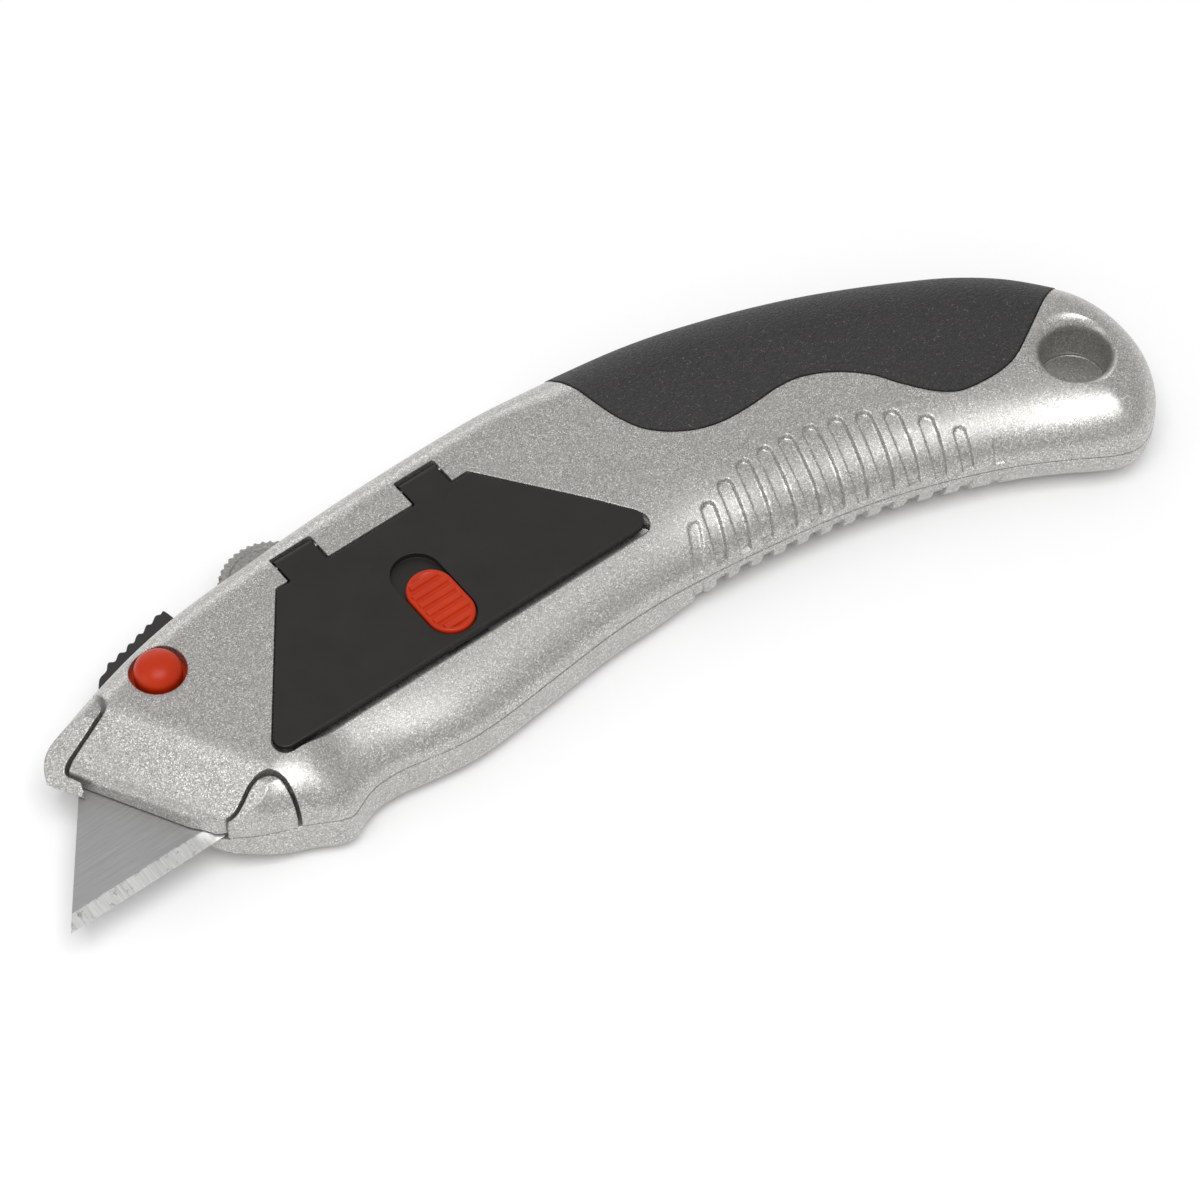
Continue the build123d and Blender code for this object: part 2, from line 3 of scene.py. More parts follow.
import bmesh
import bpy
import numpy as np
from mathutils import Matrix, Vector


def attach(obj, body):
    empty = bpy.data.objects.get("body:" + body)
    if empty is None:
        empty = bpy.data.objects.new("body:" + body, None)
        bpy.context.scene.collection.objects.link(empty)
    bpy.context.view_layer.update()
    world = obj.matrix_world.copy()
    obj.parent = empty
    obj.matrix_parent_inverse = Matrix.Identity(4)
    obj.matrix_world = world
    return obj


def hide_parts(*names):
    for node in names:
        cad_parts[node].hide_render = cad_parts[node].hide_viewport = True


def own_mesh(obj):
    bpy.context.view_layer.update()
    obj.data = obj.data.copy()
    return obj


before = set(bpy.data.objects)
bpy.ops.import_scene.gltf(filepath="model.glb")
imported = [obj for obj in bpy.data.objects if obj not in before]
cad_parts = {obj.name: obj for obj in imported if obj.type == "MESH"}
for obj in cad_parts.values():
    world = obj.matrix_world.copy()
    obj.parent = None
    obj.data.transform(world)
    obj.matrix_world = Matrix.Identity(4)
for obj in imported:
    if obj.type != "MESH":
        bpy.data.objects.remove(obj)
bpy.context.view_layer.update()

# Everything is drawn in millimetres in the part's drawing frame (X to the tail, Y to the spine,
# Z through the thickness, far face at 0, near face at 16) and moved to the row frame at the end.
CX, CY = 55.92, 4.75
TAN = math.tan(math.radians(53.2))

OUT = [
    (-9.3, 1.7), (-8.6, 0.4), (-7.2, -0.9), (-5.2, -2.2), (-3.0, -3.4), (-0.6, -4.4),
    (1.5, -5.2), (3.3, -6.1), (5.0, -7.1), (6.6, -7.8), (8.2, -7.9), (9.8, -7.2),
    (11.8, -6.4), (14.0, -6.0), (17.5, -6.15), (21.0, -6.8), (24.5, -7.4), (28.6, -7.85),
    (33.8, -7.7), (39.2, -7.2), (47.4, -6.4), (53.0, -5.9), (58.4, -5.7), (64.8, -5.85),
    (71.9, -6.5), (79.1, -7.4), (86.2, -8.5), (93.1, -9.8), (99.7, -11.5), (106.0, -13.6),
    (112.2, -16.0), (118.1, -18.7), (123.5, -21.7), (127.5, -24.2),
    (130.6, -25.9), (133.6, -26.5), (136.8, -25.4), (139.6, -23.1), (142.0, -19.8),
    (143.8, -15.7), (144.6, -11.0), (144.4, -6.2), (143.1, -1.8), (140.6, 2.2),
    (136.2, 7.4), (130.4, 12.2), (124.1, 16.1), (117.5, 19.7), (110.7, 23.0), (103.6, 25.9),
    (96.3, 28.4), (88.7, 30.6), (80.9, 32.2), (72.4, 33.2), (63.4, 33.6), (54.8, 33.8),
    (46.1, 33.8), (37.2, 33.6), (28.4, 33.2), (20.0, 32.6), (12.0, 32.0), (5.5, 31.3),
    (-2.2, 29.8), (-9.3, 27.8), (-15.0, 25.9), (-18.4, 24.6),
    (-20.8, 23.4), (-22.2, 21.8), (-22.7, 19.8), (-22.2, 17.6), (-21.0, 15.6),
    (-19.0, 13.0), (-16.6, 10.4), (-14.0, 7.4), (-11.4, 4.3),
]


# ---------------------------------------------------------------- curves
def catmull(points, n):
    p = np.array(points, float)
    out = []
    for i in range(len(p)):
        a, b, c, d = (p[(i + k - 1) % len(p)] for k in range(4))
        for j in range(n):
            t = j / n
            out.append(0.5 * (2 * b + (c - a) * t + (2 * a - 5 * b + 4 * c - d) * t * t
                              + (3 * b - a - 3 * c + d) * t ** 3))
    return np.array(out)


def open_curve(points, n):
    """Smooth line through the points, ends kept."""
    p = [points[0]] + list(points) + [points[-1]]
    p = np.array(p, float)
    out = []
    for i in range(1, len(p) - 2):
        a, b, c, d = p[i - 1], p[i], p[i + 1], p[i + 2]
        for j in range(n):
            t = j / n
            out.append(0.5 * (2 * b + (c - a) * t + (2 * a - 5 * b + 4 * c - d) * t * t
                              + (3 * b - a - 3 * c + d) * t ** 3))
    out.append(p[-1])
    return [tuple(q) for q in out]


def rounded(points, radii, n=8):
    """Polygon with each corner rounded by its radius."""
    out = []
    m = len(points)
    for i in range(m):
        p = np.array(points[i], float)
        a = np.array(points[i - 1], float) - p
        b = np.array(points[(i + 1) % m], float) - p
        r = radii[i] if hasattr(radii, "__len__") else radii
        if r <= 0:
            out.append(tuple(p))
            continue
        a /= np.linalg.norm(a)
        b /= np.linalg.norm(b)
        half = math.acos(max(-1, min(1, float(a @ b)))) / 2
        reach = r / math.tan(half)
        c = p + (a + b) / np.linalg.norm(a + b) * r / math.sin(half)
        s, e = p + a * reach - c, p + b * reach - c
        a0, a1 = math.atan2(s[1], s[0]), math.atan2(e[1], e[0])
        d = (a1 - a0 + math.pi) % (2 * math.pi) - math.pi
        for k in range(n + 1):
            t = a0 + d * k / n
            out.append((c[0] + r * math.cos(t), c[1] + r * math.sin(t)))
    return out


def circle(x, y, r, n=96, a0=0.0, a1=2 * math.pi):
    full = abs(a1 - a0 - 2 * math.pi) < 1e-9
    m = n if full else n + 1
    return [(x + r * math.cos(a0 + (a1 - a0) * i / n), y + r * math.sin(a0 + (a1 - a0) * i / n))
            for i in range(m)]


def obround(x, y0, y1, r, n=24):
    return circle(x, y1, r, n, 0, math.pi) + circle(x, y0, r, n, math.pi, 2 * math.pi)


def trapezoid(x0, y0, length, height):
    dx = height / TAN
    return [(x0, y0), (x0 + length, y0), (x0 + length - dx, y0 + height), (x0 + dx, y0 + height)]


def ease(x):
    x = np.clip(x, 0, 1)
    return x * x * (3 - 2 * x)


# ---------------------------------------------------------------- meshes
def link(me, name):
    o = bpy.data.objects.new(name, me)
    bpy.context.scene.collection.objects.link(o)
    return o


def mesh(name, verts, faces):
    me = bpy.data.meshes.new(name)
    me.from_pydata([tuple(map(float, v)) for v in verts], [], [tuple(int(i) for i in f) for f in faces])
    me.validate()
    return link(me, name)


def tidy(o):
    """Outward normals."""
    bm = bmesh.new()
    bm.from_mesh(o.data)
    bmesh.ops.recalc_face_normals(bm, faces=bm.faces)
    bm.to_mesh(o.data)
    bm.free()
    return o


def prism(points, z0, z1, name="tool"):
    n = len(points)
    v = [(x, y, z0) for x, y in points] + [(x, y, z1) for x, y in points]
    f = [tuple(range(n))[::-1], tuple(range(n, 2 * n))]
    f += [(i, (i + 1) % n, n + (i + 1) % n, n + i) for i in range(n)]
    return tidy(mesh(name, v, f))


def box(x0, x1, y0, y1, z0, z1):
    return prism([(x0, y0), (x1, y0), (x1, y1), (x0, y1)], z0, z1)


def cyl(x, y, r, z0, z1, n=96):
    return prism(circle(x, y, r, n), z0, z1)


def lathe(name, profile, x=0.0, y=0.0, n=96, wave=None):
    """Closed turned solid from a closed (r, z) profile line that starts and ends on the axis, or a ring."""
    on_axis = profile[0][0] < 1e-9 and profile[-1][0] < 1e-9
    rows = profile[1:-1] if on_axis else profile
    v, f = [], []
    for k, (r, z) in enumerate(rows):
        for i in range(n):
            a = 2 * math.pi * i / n
            rr = r + (wave(a, r, z) if wave else 0.0)
            v.append((x + rr * math.cos(a), y + rr * math.sin(a), z))
    m = len(rows)
    for k in range(m - 1 if on_axis else m):
        k2 = (k + 1) % m
        for i in range(n):
            j = (i + 1) % n
            f.append((k * n + i, k * n + j, k2 * n + j, k2 * n + i))
    if on_axis:
        b, t = len(v), len(v) + 1
        v += [(x, y, profile[0][1]), (x, y, profile[-1][1])]
        for i in range(n):
            j = (i + 1) % n
            f.append((b, j, i))
            f.append((t, (m - 1) * n + i, (m - 1) * n + j))
    return tidy(mesh(name, v, f))


def boolean(o, tools, op="DIFFERENCE", keep=False):
    for t in tools:
        m = o.modifiers.new("cut", "BOOLEAN")
        m.operation = op
        m.object = t
        m.solver = "MANIFOLD"
    dg = bpy.context.evaluated_depsgraph_get()
    me = bpy.data.meshes.new_from_object(o.evaluated_get(dg))
    o.modifiers.clear()
    o.data = me
    if not keep:
        for t in tools:
            bpy.data.objects.remove(t)
    return o


def copy(o, name):
    c = link(o.data.copy(), name)
    return c


def drop(*objs):
    for o in objs:
        bpy.data.objects.remove(o)


def bevel(o, width, segments=3, angle=40):
    m = o.modifiers.new("bevel", "BEVEL")
    m.width = width
    m.segments = segments
    m.limit_method = "ANGLE"
    m.angle_limit = math.radians(angle)
    m.use_clamp_overlap = True
    m.harden_normals = False
    dg = bpy.context.evaluated_depsgraph_get()
    me = bpy.data.meshes.new_from_object(o.evaluated_get(dg))
    o.modifiers.clear()
    o.data = me
    return o


def place(o, name, body, material, replaces=(), angle=38, weighted=True):
    """Moves a finished mesh to the row frame, names it and hands it to its body."""
    o.name = name
    me = o.data
    me.name = name
    n = len(me.vertices)
    co = np.zeros(n * 3)
    me.vertices.foreach_get("co", co)
    co = co.reshape(-1, 3)
    co[:, 0] -= CX
    co[:, 1] -= CY
    co = np.clip(co, (-88.715, -31.245, 0.0), (88.715, 31.245, 18.1))
    me.vertices.foreach_set("co", (co / 1000.0).ravel())
    me.update()
    me.materials.clear()
    me.materials.append(material)
    me.shade_smooth()
    me.set_sharp_from_angle(angle=math.radians(angle))
    if weighted:
        m = o.modifiers.new("normals", "WEIGHTED_NORMAL")
        m.keep_sharp = True
        m.weight = 60
    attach(o, body)
    if replaces:
        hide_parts(*replaces)
    return o


# ---------------------------------------------------------------- materials
def srgb(r, g, b):
    def f(c):
        c /= 255.0
        return c / 12.92 if c <= 0.04045 else ((c + 0.055) / 1.055) ** 2.4
    return (f(r), f(g), f(b), 1.0)


class Mat:
    def __init__(self, name):
        self.m = bpy.data.materials.new(name)
        self.m.use_nodes = True
        self.t = self.m.node_tree
        self.b = next(n for n in self.t.nodes if n.type == "BSDF_PRINCIPLED")
        self.co = self.n("ShaderNodeTexCoord").outputs["Object"]

    def n(self, kind, **kw):
        node = self.t.nodes.new(kind)
        for k, v in kw.items():
            setattr(node, k, v)
        return node

    def to(self, a, b):
        self.t.links.new(a, b)

    def set(self, **kw):
        for k, v in kw.items():
            self.b.inputs[k.replace("_", " ")].default_value = v

    def scaled(self, sx, sy, sz):
        m = self.n("ShaderNodeMapping")
        m.inputs["Scale"].default_value = (sx, sy, sz)
        self.to(self.co, m.inputs["Vector"])
        return m.outputs["Vector"]

    def noise(self, scale, detail=4.0, rough=0.55, vec=None, distortion=0.0):
        t = self.n("ShaderNodeTexNoise")
        t.inputs["Scale"].default_value = scale
        t.inputs["Detail"].default_value = detail
        t.inputs["Roughness"].default_value = rough
        t.inputs["Distortion"].default_value = distortion
        self.to(vec or self.co, t.inputs["Vector"])
        return t

    def voronoi(self, scale, feature="F1", vec=None, randomness=1.0):
        t = self.n("ShaderNodeTexVoronoi", feature=feature)
        t.inputs["Scale"].default_value = scale
        t.inputs["Randomness"].default_value = randomness
        self.to(vec or self.co, t.inputs["Vector"])
        return t

    def ramp(self, fac, stops):
        r = self.n("ShaderNodeValToRGB")
        e = r.color_ramp.elements
        while len(e) < len(stops):
            e.new(0.5)
        for el, (p, c) in zip(e, stops):
            el.position = p
            el.color = c if hasattr(c, "__len__") else (c, c, c, 1)
        self.to(fac, r.inputs["Fac"])
        return r.outputs["Color"]

    def math(self, op, a, b=None, clamp=False):
        m = self.n("ShaderNodeMath", operation=op, use_clamp=clamp)
        for i, v in enumerate((a, b)):
            if v is None:
                continue
            if isinstance(v, (int, float)):
                m.inputs[i].default_value = v
            else:
                self.to(v, m.inputs[i])
        return m.outputs[0]

    def mix(self, fac, a, b, blend="MIX"):
        m = self.n("ShaderNodeMix", data_type="RGBA", blend_type=blend)
        for sock, v in ((m.inputs[0], fac), (m.inputs[6], a), (m.inputs[7], b)):
            if isinstance(v, (int, float)):
                sock.default_value = v
            elif hasattr(v, "__len__"):
                sock.default_value = v
            else:
                self.to(v, sock)
        return m.outputs[2]

    def bump(self, height, strength, distance, normal=None):
        b = self.n("ShaderNodeBump")
        b.inputs["Strength"].default_value = strength
        b.inputs["Distance"].default_value = distance
        self.to(height, b.inputs["Height"])
        if normal is not None:
            self.to(normal, b.inputs["Normal"])
        return b.outputs["Normal"]

    def soft_edge(self, radius, samples=4):
        b = self.n("ShaderNodeBevel", samples=samples)
        b.inputs["Radius"].default_value = radius
        return b.outputs["Normal"]

    def position(self):
        s = self.n("ShaderNodeSeparateXYZ")
        self.to(self.co, s.inputs[0])
        return s.outputs


def silver_paint(edge=0.0003):
    m = Mat("silver_paint")
    # metal flake: cells about a quarter of a millimetre, each tilted its own way
    fine = m.voronoi(7400.0)
    coarse = m.voronoi(5200.0)
    sep = m.n("ShaderNodeSeparateColor")
    m.to(fine.outputs["Color"], sep.inputs[0])
    tone = m.ramp(sep.outputs[0], [(0.0, srgb(140, 138, 134)), (0.5, srgb(184, 182, 178)),
                                   (0.84, srgb(204, 202, 199)), (1.0, srgb(252, 251, 249))])
    cloud = m.noise(260.0, 3.0).outputs["Fac"]
    tone = m.mix(m.ramp(cloud, [(0.35, 0.0), (0.65, 0.35)]), tone, srgb(178, 176, 172))
    m.to(tone, m.b.inputs["Base Color"])
    m.set(Metallic=0.72, IOR=1.45, Coat_Weight=0.15, Coat_Roughness=0.34)
    m.to(m.math("ADD", m.math("MULTIPLY", sep.outputs[1], 0.08), 0.32), m.b.inputs["Roughness"])
    soft = m.soft_edge(edge)
    tilt = m.n("ShaderNodeVectorMath", operation="SUBTRACT")
    m.to(fine.outputs["Color"], tilt.inputs[0])
    tilt.inputs[1].default_value = (0.5, 0.5, 0.5)
    tilt2 = m.n("ShaderNodeVectorMath", operation="SUBTRACT")
    m.to(coarse.outputs["Color"], tilt2.inputs[0])
    tilt2.inputs[1].default_value = (0.5, 0.5, 0.5)
    k1 = m.n("ShaderNodeVectorMath", operation="SCALE")
    m.to(tilt.outputs[0], k1.inputs[0])
    k1.inputs["Scale"].default_value = 0.06
    k2 = m.n("ShaderNodeVectorMath", operation="SCALE")
    m.to(tilt2.outputs[0], k2.inputs[0])
    k2.inputs["Scale"].default_value = 0.03
    s1 = m.n("ShaderNodeVectorMath", operation="ADD")
    m.to(soft, s1.inputs[0])
    m.to(k1.outputs[0], s1.inputs[1])
    s2 = m.n("ShaderNodeVectorMath", operation="ADD")
    m.to(s1.outputs[0], s2.inputs[0])
    m.to(k2.outputs[0], s2.inputs[1])
    s3 = m.n("ShaderNodeVectorMath", operation="NORMALIZE")
    m.to(s2.outputs[0], s3.inputs[0])
    peel = m.bump(m.noise(1500.0, 3.0, 0.6).outputs["Fac"], 0.25, 0.00004, s3.outputs[0])
    m.to(peel, m.b.inputs["Normal"])
    return m.m


def grip_rubber():
    m = Mat("grip_rubber")
    # leather grain: creased cells stretched along the handle, with pale lines painted along some creases as a
    # highlight
    warp = m.noise(900.0, 2.0)
    base = m.scaled(0.62, 1.25, 1.0)
    add = m.n("ShaderNodeVectorMath", operation="MULTIPLY_ADD")
    m.to(warp.outputs["Color"], add.inputs[0])
    add.inputs[1].default_value = (0.0011, 0.0011, 0.0011)
    m.to(base, add.inputs[2])
    cells = m.voronoi(1250.0, "DISTANCE_TO_EDGE", add.outputs[0])
    small = m.voronoi(1900.0, "DISTANCE_TO_EDGE", add.outputs[0])
    crease = m.ramp(cells.outputs["Distance"], [(0.0, 0.0), (0.10, 0.85), (0.32, 1.0)])
    fine = m.ramp(small.outputs["Distance"], [(0.0, 0.0), (0.25, 1.0)])
    both = m.mix(0.28, crease, fine, "MULTIPLY")
    tone = m.mix(m.ramp(m.noise(2400.0, 2.0).outputs["Fac"], [(0.3, 0.0), (0.75, 1.0)]),
                 srgb(36, 35, 34), srgb(46, 45, 44))
    # painted highlight: pale lines along some creases, broken into short bits by noise, stand in for light
    # catching the edges of the grain
    painted_glint_breakup = m.ramp(m.noise(2900.0, 2.0).outputs["Fac"], [(0.50, 0.0), (0.60, 1.0)])
    tone = m.mix(m.math("MULTIPLY", m.ramp(both, [(0.0, 0.95), (0.22, 0.0)]), painted_glint_breakup), tone, srgb(112, 109, 105))
    m.to(tone, m.b.inputs["Base Color"])
    m.set(IOR=1.5, Specular_IOR_Level=0.42, Sheen_Weight=0.06, Sheen_Roughness=0.5)
    m.to(m.ramp(both, [(0.0, 0.72), (1.0, 0.50)]), m.b.inputs["Roughness"])
    n1 = m.bump(both, 0.75, 0.00016, m.soft_edge(0.00035))
    m.to(m.bump(m.noise(5200.0, 3.0).outputs["Fac"], 0.35, 0.00003, n1), m.b.inputs["Normal"])
    return m.m


def plastic(name, dark, light, rough=(0.34, 0.46), grain=3600.0, strength=0.2, edge=0.0, spec=0.5):
    m = Mat(name)
    cloud = m.noise(180.0, 4.0).outputs["Fac"]
    tone = m.mix(m.ramp(cloud, [(0.3, 0.0), (0.7, 1.0)]), dark, light)
    m.to(tone, m.b.inputs["Base Color"])
    fine = m.noise(grain, 3.0).outputs["Fac"]
    m.to(m.ramp(fine, [(0.2, rough[0]), (0.8, rough[1])]), m.b.inputs["Roughness"])
    m.set(IOR=1.5, Specular_IOR_Level=spec)
    base = m.soft_edge(edge) if edge else None
    m.to(m.bump(fine, strength, 0.00002, base), m.b.inputs["Normal"])
    return m.m


def metal(name, dark, light, rough=(0.25, 0.4), brush=(40.0, 1.0, 1.0), metallic=1.0, scale=60.0,
          grain=0.0, edge=0.0):
    m = Mat(name)
    v = m.scaled(*brush)
    lines = m.noise(scale, 6.0, 0.7, v).outputs["Fac"]
    tone = m.mix(m.ramp(lines, [(0.3, 0.0), (0.7, 1.0)]), dark, light)
    m.to(tone, m.b.inputs["Base Color"])
    m.to(m.ramp(lines, [(0.25, rough[0]), (0.75, rough[1])]), m.b.inputs["Roughness"])
    m.set(Metallic=metallic)
    base = m.soft_edge(edge) if edge else None
    out = m.bump(lines, 0.18, 0.00003, base)
    if grain:
        out = m.bump(m.noise(grain, 3.0).outputs["Fac"], 0.4, 0.00004, out)
    m.to(out, m.b.inputs["Normal"])
    return m.m


def blade_steel(name, y_edge):
    """Ground steel: fine lines along the blade, a brighter ground strip with a worn, speckled rim."""
    m = Mat(name)
    v = m.scaled(1.0, 30.0, 30.0)
    lines = m.noise(120.0, 6.0, 0.75, v).outputs["Fac"]
    face = m.mix(m.ramp(lines, [(0.3, 0.0), (0.7, 1.0)]), srgb(168, 168, 168), srgb(190, 190, 189))
    spots = m.noise(900.0, 5.0, 0.7).outputs["Fac"]
    across = m.scaled(30.0, 1.0, 1.0)
    ground = m.noise(130.0, 5.0, 0.75, across).outputs["Fac"]
    strip = m.mix(m.ramp(ground, [(0.3, 0.0), (0.7, 1.0)]), srgb(196, 197, 196), srgb(232, 232, 230))
    strip = m.mix(m.ramp(spots, [(0.56, 0.0), (0.66, 0.75)]), strip, srgb(150, 148, 144))
    y = m.position()[1]
    rough_y = m.math("ADD", y, m.math("MULTIPLY", m.math("SUBTRACT", spots, 0.5), 0.0006))
    mask = m.math("LESS_THAN", rough_y, y_edge + 0.00235)
    m.to(m.mix(mask, face, strip), m.b.inputs["Base Color"])
    m.set(Metallic=0.85)
    r = m.mix(mask, m.ramp(lines, [(0.3, 0.34), (0.7, 0.44)]), m.ramp(ground, [(0.3, 0.28), (0.7, 0.42)]))
    m.to(r, m.b.inputs["Roughness"])
    m.to(m.bump(lines, 0.12, 0.00002), m.b.inputs["Normal"])
    return m.m


M_SILVER = silver_paint()
M_SILVER_IN = M_SILVER
M_GRIP = grip_rubber()
M_DOOR = plastic("black_plastic", srgb(31, 29, 27), srgb(36, 34, 32), (0.36, 0.46), edge=0.0002, spec=0.35)
M_SLIDE = plastic("black_slide", srgb(34, 32, 31), srgb(44, 42, 40), (0.42, 0.55))
M_RED = plastic("red_plastic", srgb(176, 40, 5), srgb(188, 50, 8), (0.34, 0.44), 2600.0, 0.12, spec=0.25)
M_BLADE = blade_steel("blade_steel", (0.1 - CY) / 1000)
M_SPARE = blade_steel("blade_steel_spare", (1.6 - CY) / 1000)
M_WHEEL = metal("wheel_metal", srgb(118, 116, 112), srgb(176, 174, 170), (0.4, 0.52), (1, 1, 1), 0.5,
                3000.0, 2400.0)
M_ZINC = metal("cast_zinc", srgb(150, 150, 152), srgb(178, 178, 180), (0.42, 0.55), (1, 1, 1), 0.9,
               900.0, 2200.0)
M_PLATE = metal("plated_steel", srgb(178, 178, 182), srgb(205, 205, 208), (0.26, 0.36), (1, 1, 6), 1.0, 500.0)
M_SPRING = metal("spring_steel", srgb(150, 150, 154), srgb(190, 190, 194), (0.22, 0.32), (1, 1, 20), 1.0, 300.0)


# ---------------------------------------------------------------- casing surface
def outline(fine=0.15, coarse=0.45):
    """The closed outline, close-spaced where the finger flutes are."""
    c = catmull(OUT, 24)
    seg = np.linalg.norm(np.roll(c, -1, 0) - c, axis=1)
    acc = np.concatenate([[0], np.cumsum(seg)])
    dense = np.arange(0, acc[-1], 0.05)
    x = np.interp(dense, acc, np.append(c[:, 0], c[0, 0]))
    y = np.interp(dense, acc, np.append(c[:, 1], c[0, 1]))
    step = np.where((y < 5) & (x > 60) & (x < 121), fine, coarse)
    step[(x < 14) & ((y < 3) | (x < -9))] = 0.3
    w = np.cumsum(0.05 / step)
    n = int(w[-1])
    at = np.interp(np.arange(n) * (w[-1] / n), w, dense)
    return np.stack([np.interp(at, dense, x), np.interp(at, dense, y)], 1), at, acc[-1]


P, S, LEN = outline()


def inward(sigma):
    """Unit normals into the outline, smoothed over sigma millimetres."""
    g = np.arange(0, LEN, 0.25)
    x = np.interp(g, np.append(S, LEN), np.append(P[:, 0], P[0, 0]))
    y = np.interp(g, np.append(S, LEN), np.append(P[:, 1], P[0, 1]))
    dx, dy = np.roll(x, -1) - np.roll(x, 1), np.roll(y, -1) - np.roll(y, 1)
    d = np.hypot(dx, dy)
    n = np.stack([-dy / d, dx / d], 1)
    k = int(3 * sigma / 0.25)
    w = np.exp(-0.5 * (np.arange(-k, k + 1) * 0.25 / sigma) ** 2)
    w /= w.sum()
    big = np.concatenate([n[-k:], n, n[:k]])
    s = np.stack([np.convolve(big[:, i], w, "valid") for i in (0, 1)], 1)
    s /= np.linalg.norm(s, axis=1)[:, None]
    out = np.stack([np.interp(S, g, s[:, i]) for i in (0, 1)], 1)
    return out / np.linalg.norm(out, axis=1)[:, None]


NRM = inward(6.0)
NEAR = {"nose": (1.3, 1.3), "corner": (9.5, 6.2), "belly": (21.5, 7.4), "belly_h": (13.0, 7.4), "tail": (8.5, 6.8),
        "spine_h": (9.0, 6.8), "spine": (5.4, 5.2)}
FAR = {"nose": (1.3, 1.3), "corner": (3.0, 3.0), "belly": (3.4, 3.2), "belly_h": (8.0, 7.0), "tail": (8.0, 6.8),
       "spine_h": (8.5, 6.8), "spine": (4.2, 4.0)}


def quarter(a, b, rows, cap):
    """Wall, then a quarter ellipse a wide and b high: (inset, height above the parting)."""
    t = np.linspace(0, math.pi / 2, 500)
    i = np.concatenate([[0], a * (1 - np.cos(t))])
    z = np.concatenate([[0], 8 - b + b * np.sin(t)])
    s = np.concatenate([[0], np.cumsum(np.hypot(np.diff(i), np.diff(z)))])
    # rows evenly spaced along the length of the profile
    q = np.linspace(0, 1, rows) * s[-1]
    return np.stack([np.interp(q, s, i), np.interp(q, s, z)], 1)


def profiles(table, rows):
    tab = {k: quarter(a, b, rows, None) for k, (a, b) in table.items()}
    out = np.zeros((len(P), rows, 2))

    def mix(p, q, f):
        f = ease(f)
        return tab[p] * (1 - f) + tab[q] * f

    for i, (x, y) in enumerate(P):
        mid = 13.0 - max(0.0, x - 60.0) ** 2 * 0.0033
        if y < mid:
            if x < 1:
                out[i] = mix("nose", "corner", (x + 8.5) / 9.5)
            elif x < 14:
                out[i] = mix("corner", "belly", (x - 1) / 13.0)
            elif x < 85:
                out[i] = mix("belly", "belly_h", (x - 60) / 22.0)
            else:
                out[i] = mix("belly_h", "tail", (x - 120) / 14.0)
        elif x < 0:
            out[i] = mix("nose", "spine", (x + 21.5) / 5.0)
        elif x < 85:
            out[i] = mix("spine", "spine_h", (x - 58) / 22.0)
        else:
            out[i] = mix("spine_h", "tail", (x - 122) / 14.0)
        if table is NEAR and y < mid and 1 < x < 82:
            # the face stays level along the foot of the door, where the outline wanders
            w = ease((x - 1) / 13.0) * (1 - ease((x - 60) / 22.0))
            out[i][:, 0] *= 1 + w * (max(0.25, 2.41 * (1.5 - y) / 21.5) - 1)
    return out


# finger flutes: plan point of the top of each arch, and middle of its foot near the parting line
FLUTES = [
    ((72.0, -0.9), (69.0, -5.2), 0.6, 1.0),
    ((75.2, 0.4), (73.0, -5.5), 1, 1.15), ((79.1, 1.6), (76.9, -5.7), 1, 1.2),
    ((83.2, 2.4), (80.8, -6.0), 1, 1.2), ((86.9, 2.5), (84.6, -6.5), 1, 1.2),
    ((90.6, 2.1), (88.5, -6.9), 1, 1.2), ((94.4, 1.3), (92.2, -7.8), 1, 1.2),
    ((98.2, 0.3), (96.0, -8.6), 1, 1.2), ((102.0, -1.4), (99.9, -9.7), 1, 1.2),
    ((105.5, -3.6), (103.7, -11.0), 1, 1.2), ((109.1, -6.8), (107.6, -12.5), 1, 1.15),
    ((112.2, -10.9), (111.4, -14.0), 0.8, 1.0), ((115.9, -15.2), (115.6, -16.1), 0.5, 0.8),
]
FLUTE_DEPTH = 0.72


